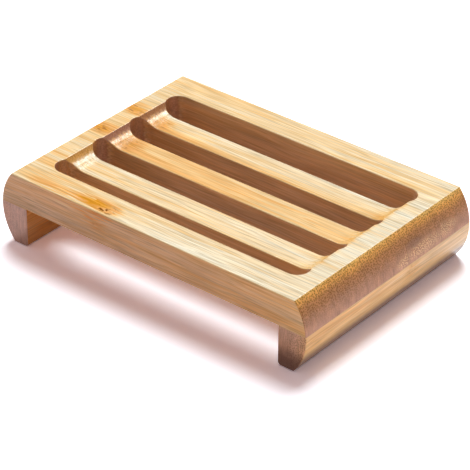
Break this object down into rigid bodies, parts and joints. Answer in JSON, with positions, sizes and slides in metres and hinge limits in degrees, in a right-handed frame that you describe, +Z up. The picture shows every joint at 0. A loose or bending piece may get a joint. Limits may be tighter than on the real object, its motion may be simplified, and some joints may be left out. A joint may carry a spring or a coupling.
{
  "type": "soap dish",
  "caption": "Low bamboo soap dish: a slatted board with a shallow soap hollow, drain slots and swelling rounded ends, on foot bars.",
  "frame": {"origin": "middle of the plane that the foot bars rest on", "axes": "+X along the slats to the right end, +Y towards the rear border, +Z up"},
  "size_m": [0.12, 0.082, 0.0246],
  "materials": {
    "border_bamboo": "satin lacquered bamboo, grain along X",
    "slat_bamboo": "satin lacquered bamboo, grain along X",
    "foot_bamboo": "satin lacquered bamboo, grain along Y"
  },
  "bodies": {
    "root": {"front_border": "border_bamboo", "slat_1": "slat_bamboo", "slat_2": "slat_bamboo", "slat_3": "slat_bamboo", "rear_border": "border_bamboo", "left_foot": "foot_bamboo", "right_foot": "foot_bamboo"}
  },
  "joints": []
}
